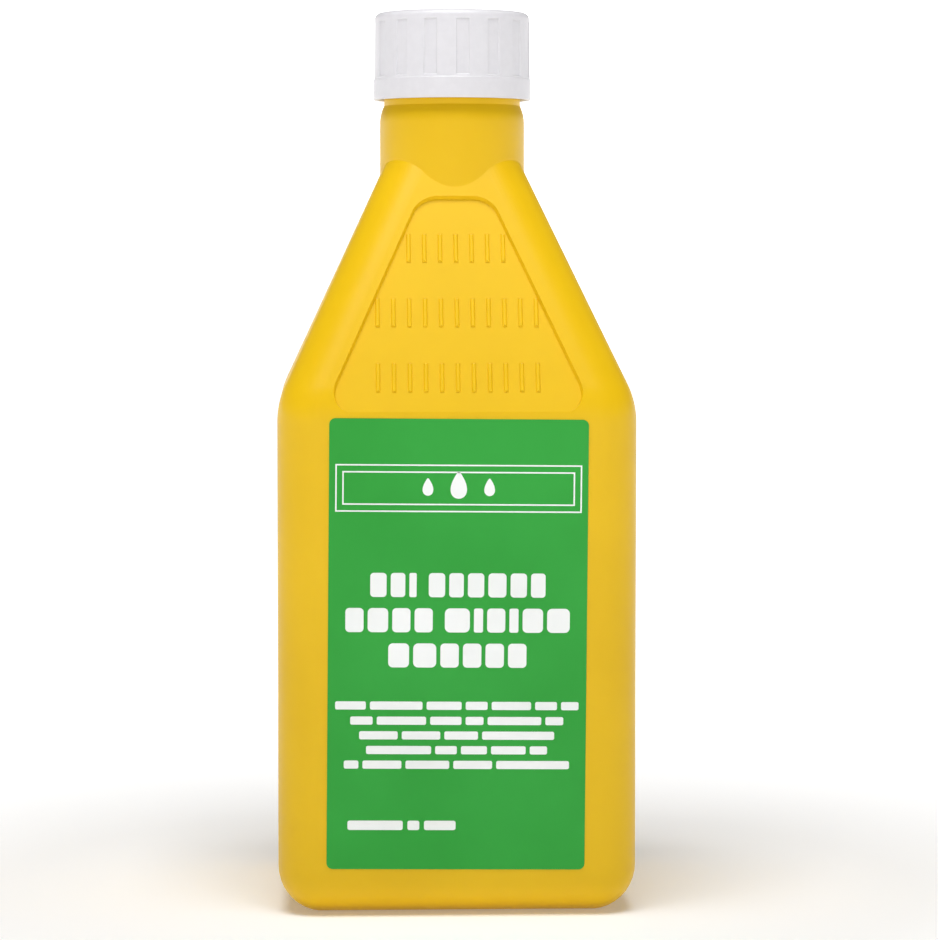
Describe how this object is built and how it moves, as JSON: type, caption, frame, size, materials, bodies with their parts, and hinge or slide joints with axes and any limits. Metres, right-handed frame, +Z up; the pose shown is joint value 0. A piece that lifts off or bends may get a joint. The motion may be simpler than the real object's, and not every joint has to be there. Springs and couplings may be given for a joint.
{
  "type": "fuel mixing bottle",
  "caption": "Nearly square yellow plastic bottle with a tapered shoulder, sunk shoulder panels, a front label, and a fluted white screw cap over a foam liner.",
  "frame": {"origin": "middle of the base, on the surface that the bottle stands on", "axes": "+Z up along the bottle's and cap's axis, the labelled front faces -Y, +X to the right of someone who reads the label"},
  "size_m": [0.0882, 0.0862, 0.2235],
  "materials": {
    "yellow_plastic": "satin, finely textured by the blow mould",
    "white_plastic": "smooth moulded, softly glossy",
    "white_foam": "matt expanded foam with a smooth skin",
    "green_print": "printed film with a soft sheen"
  },
  "bodies": {
    "bottle": {"bottle": "yellow_plastic", "front_label": "green_print"},
    "liner": {"cap_liner": "white_foam"},
    "cap": {"screw_cap": "white_plastic"}
  },
  "joints": [
    {"name": "cap_lift", "type": "slide", "parent": "bottle", "child": "liner", "axis": [0, 0, 1], "range_m": [0, 0.02116]},
    {"name": "cap_turn", "type": "hinge", "parent": "liner", "child": "cap", "pos_m": [0, 0, 0.21], "axis": [0, 0, 1], "range_deg": [0, 1800]}
  ],
  "couplings": [
    {"joint": "cap_lift", "follows": "cap_turn", "m_per_rad": 0.0006737}
  ]
}
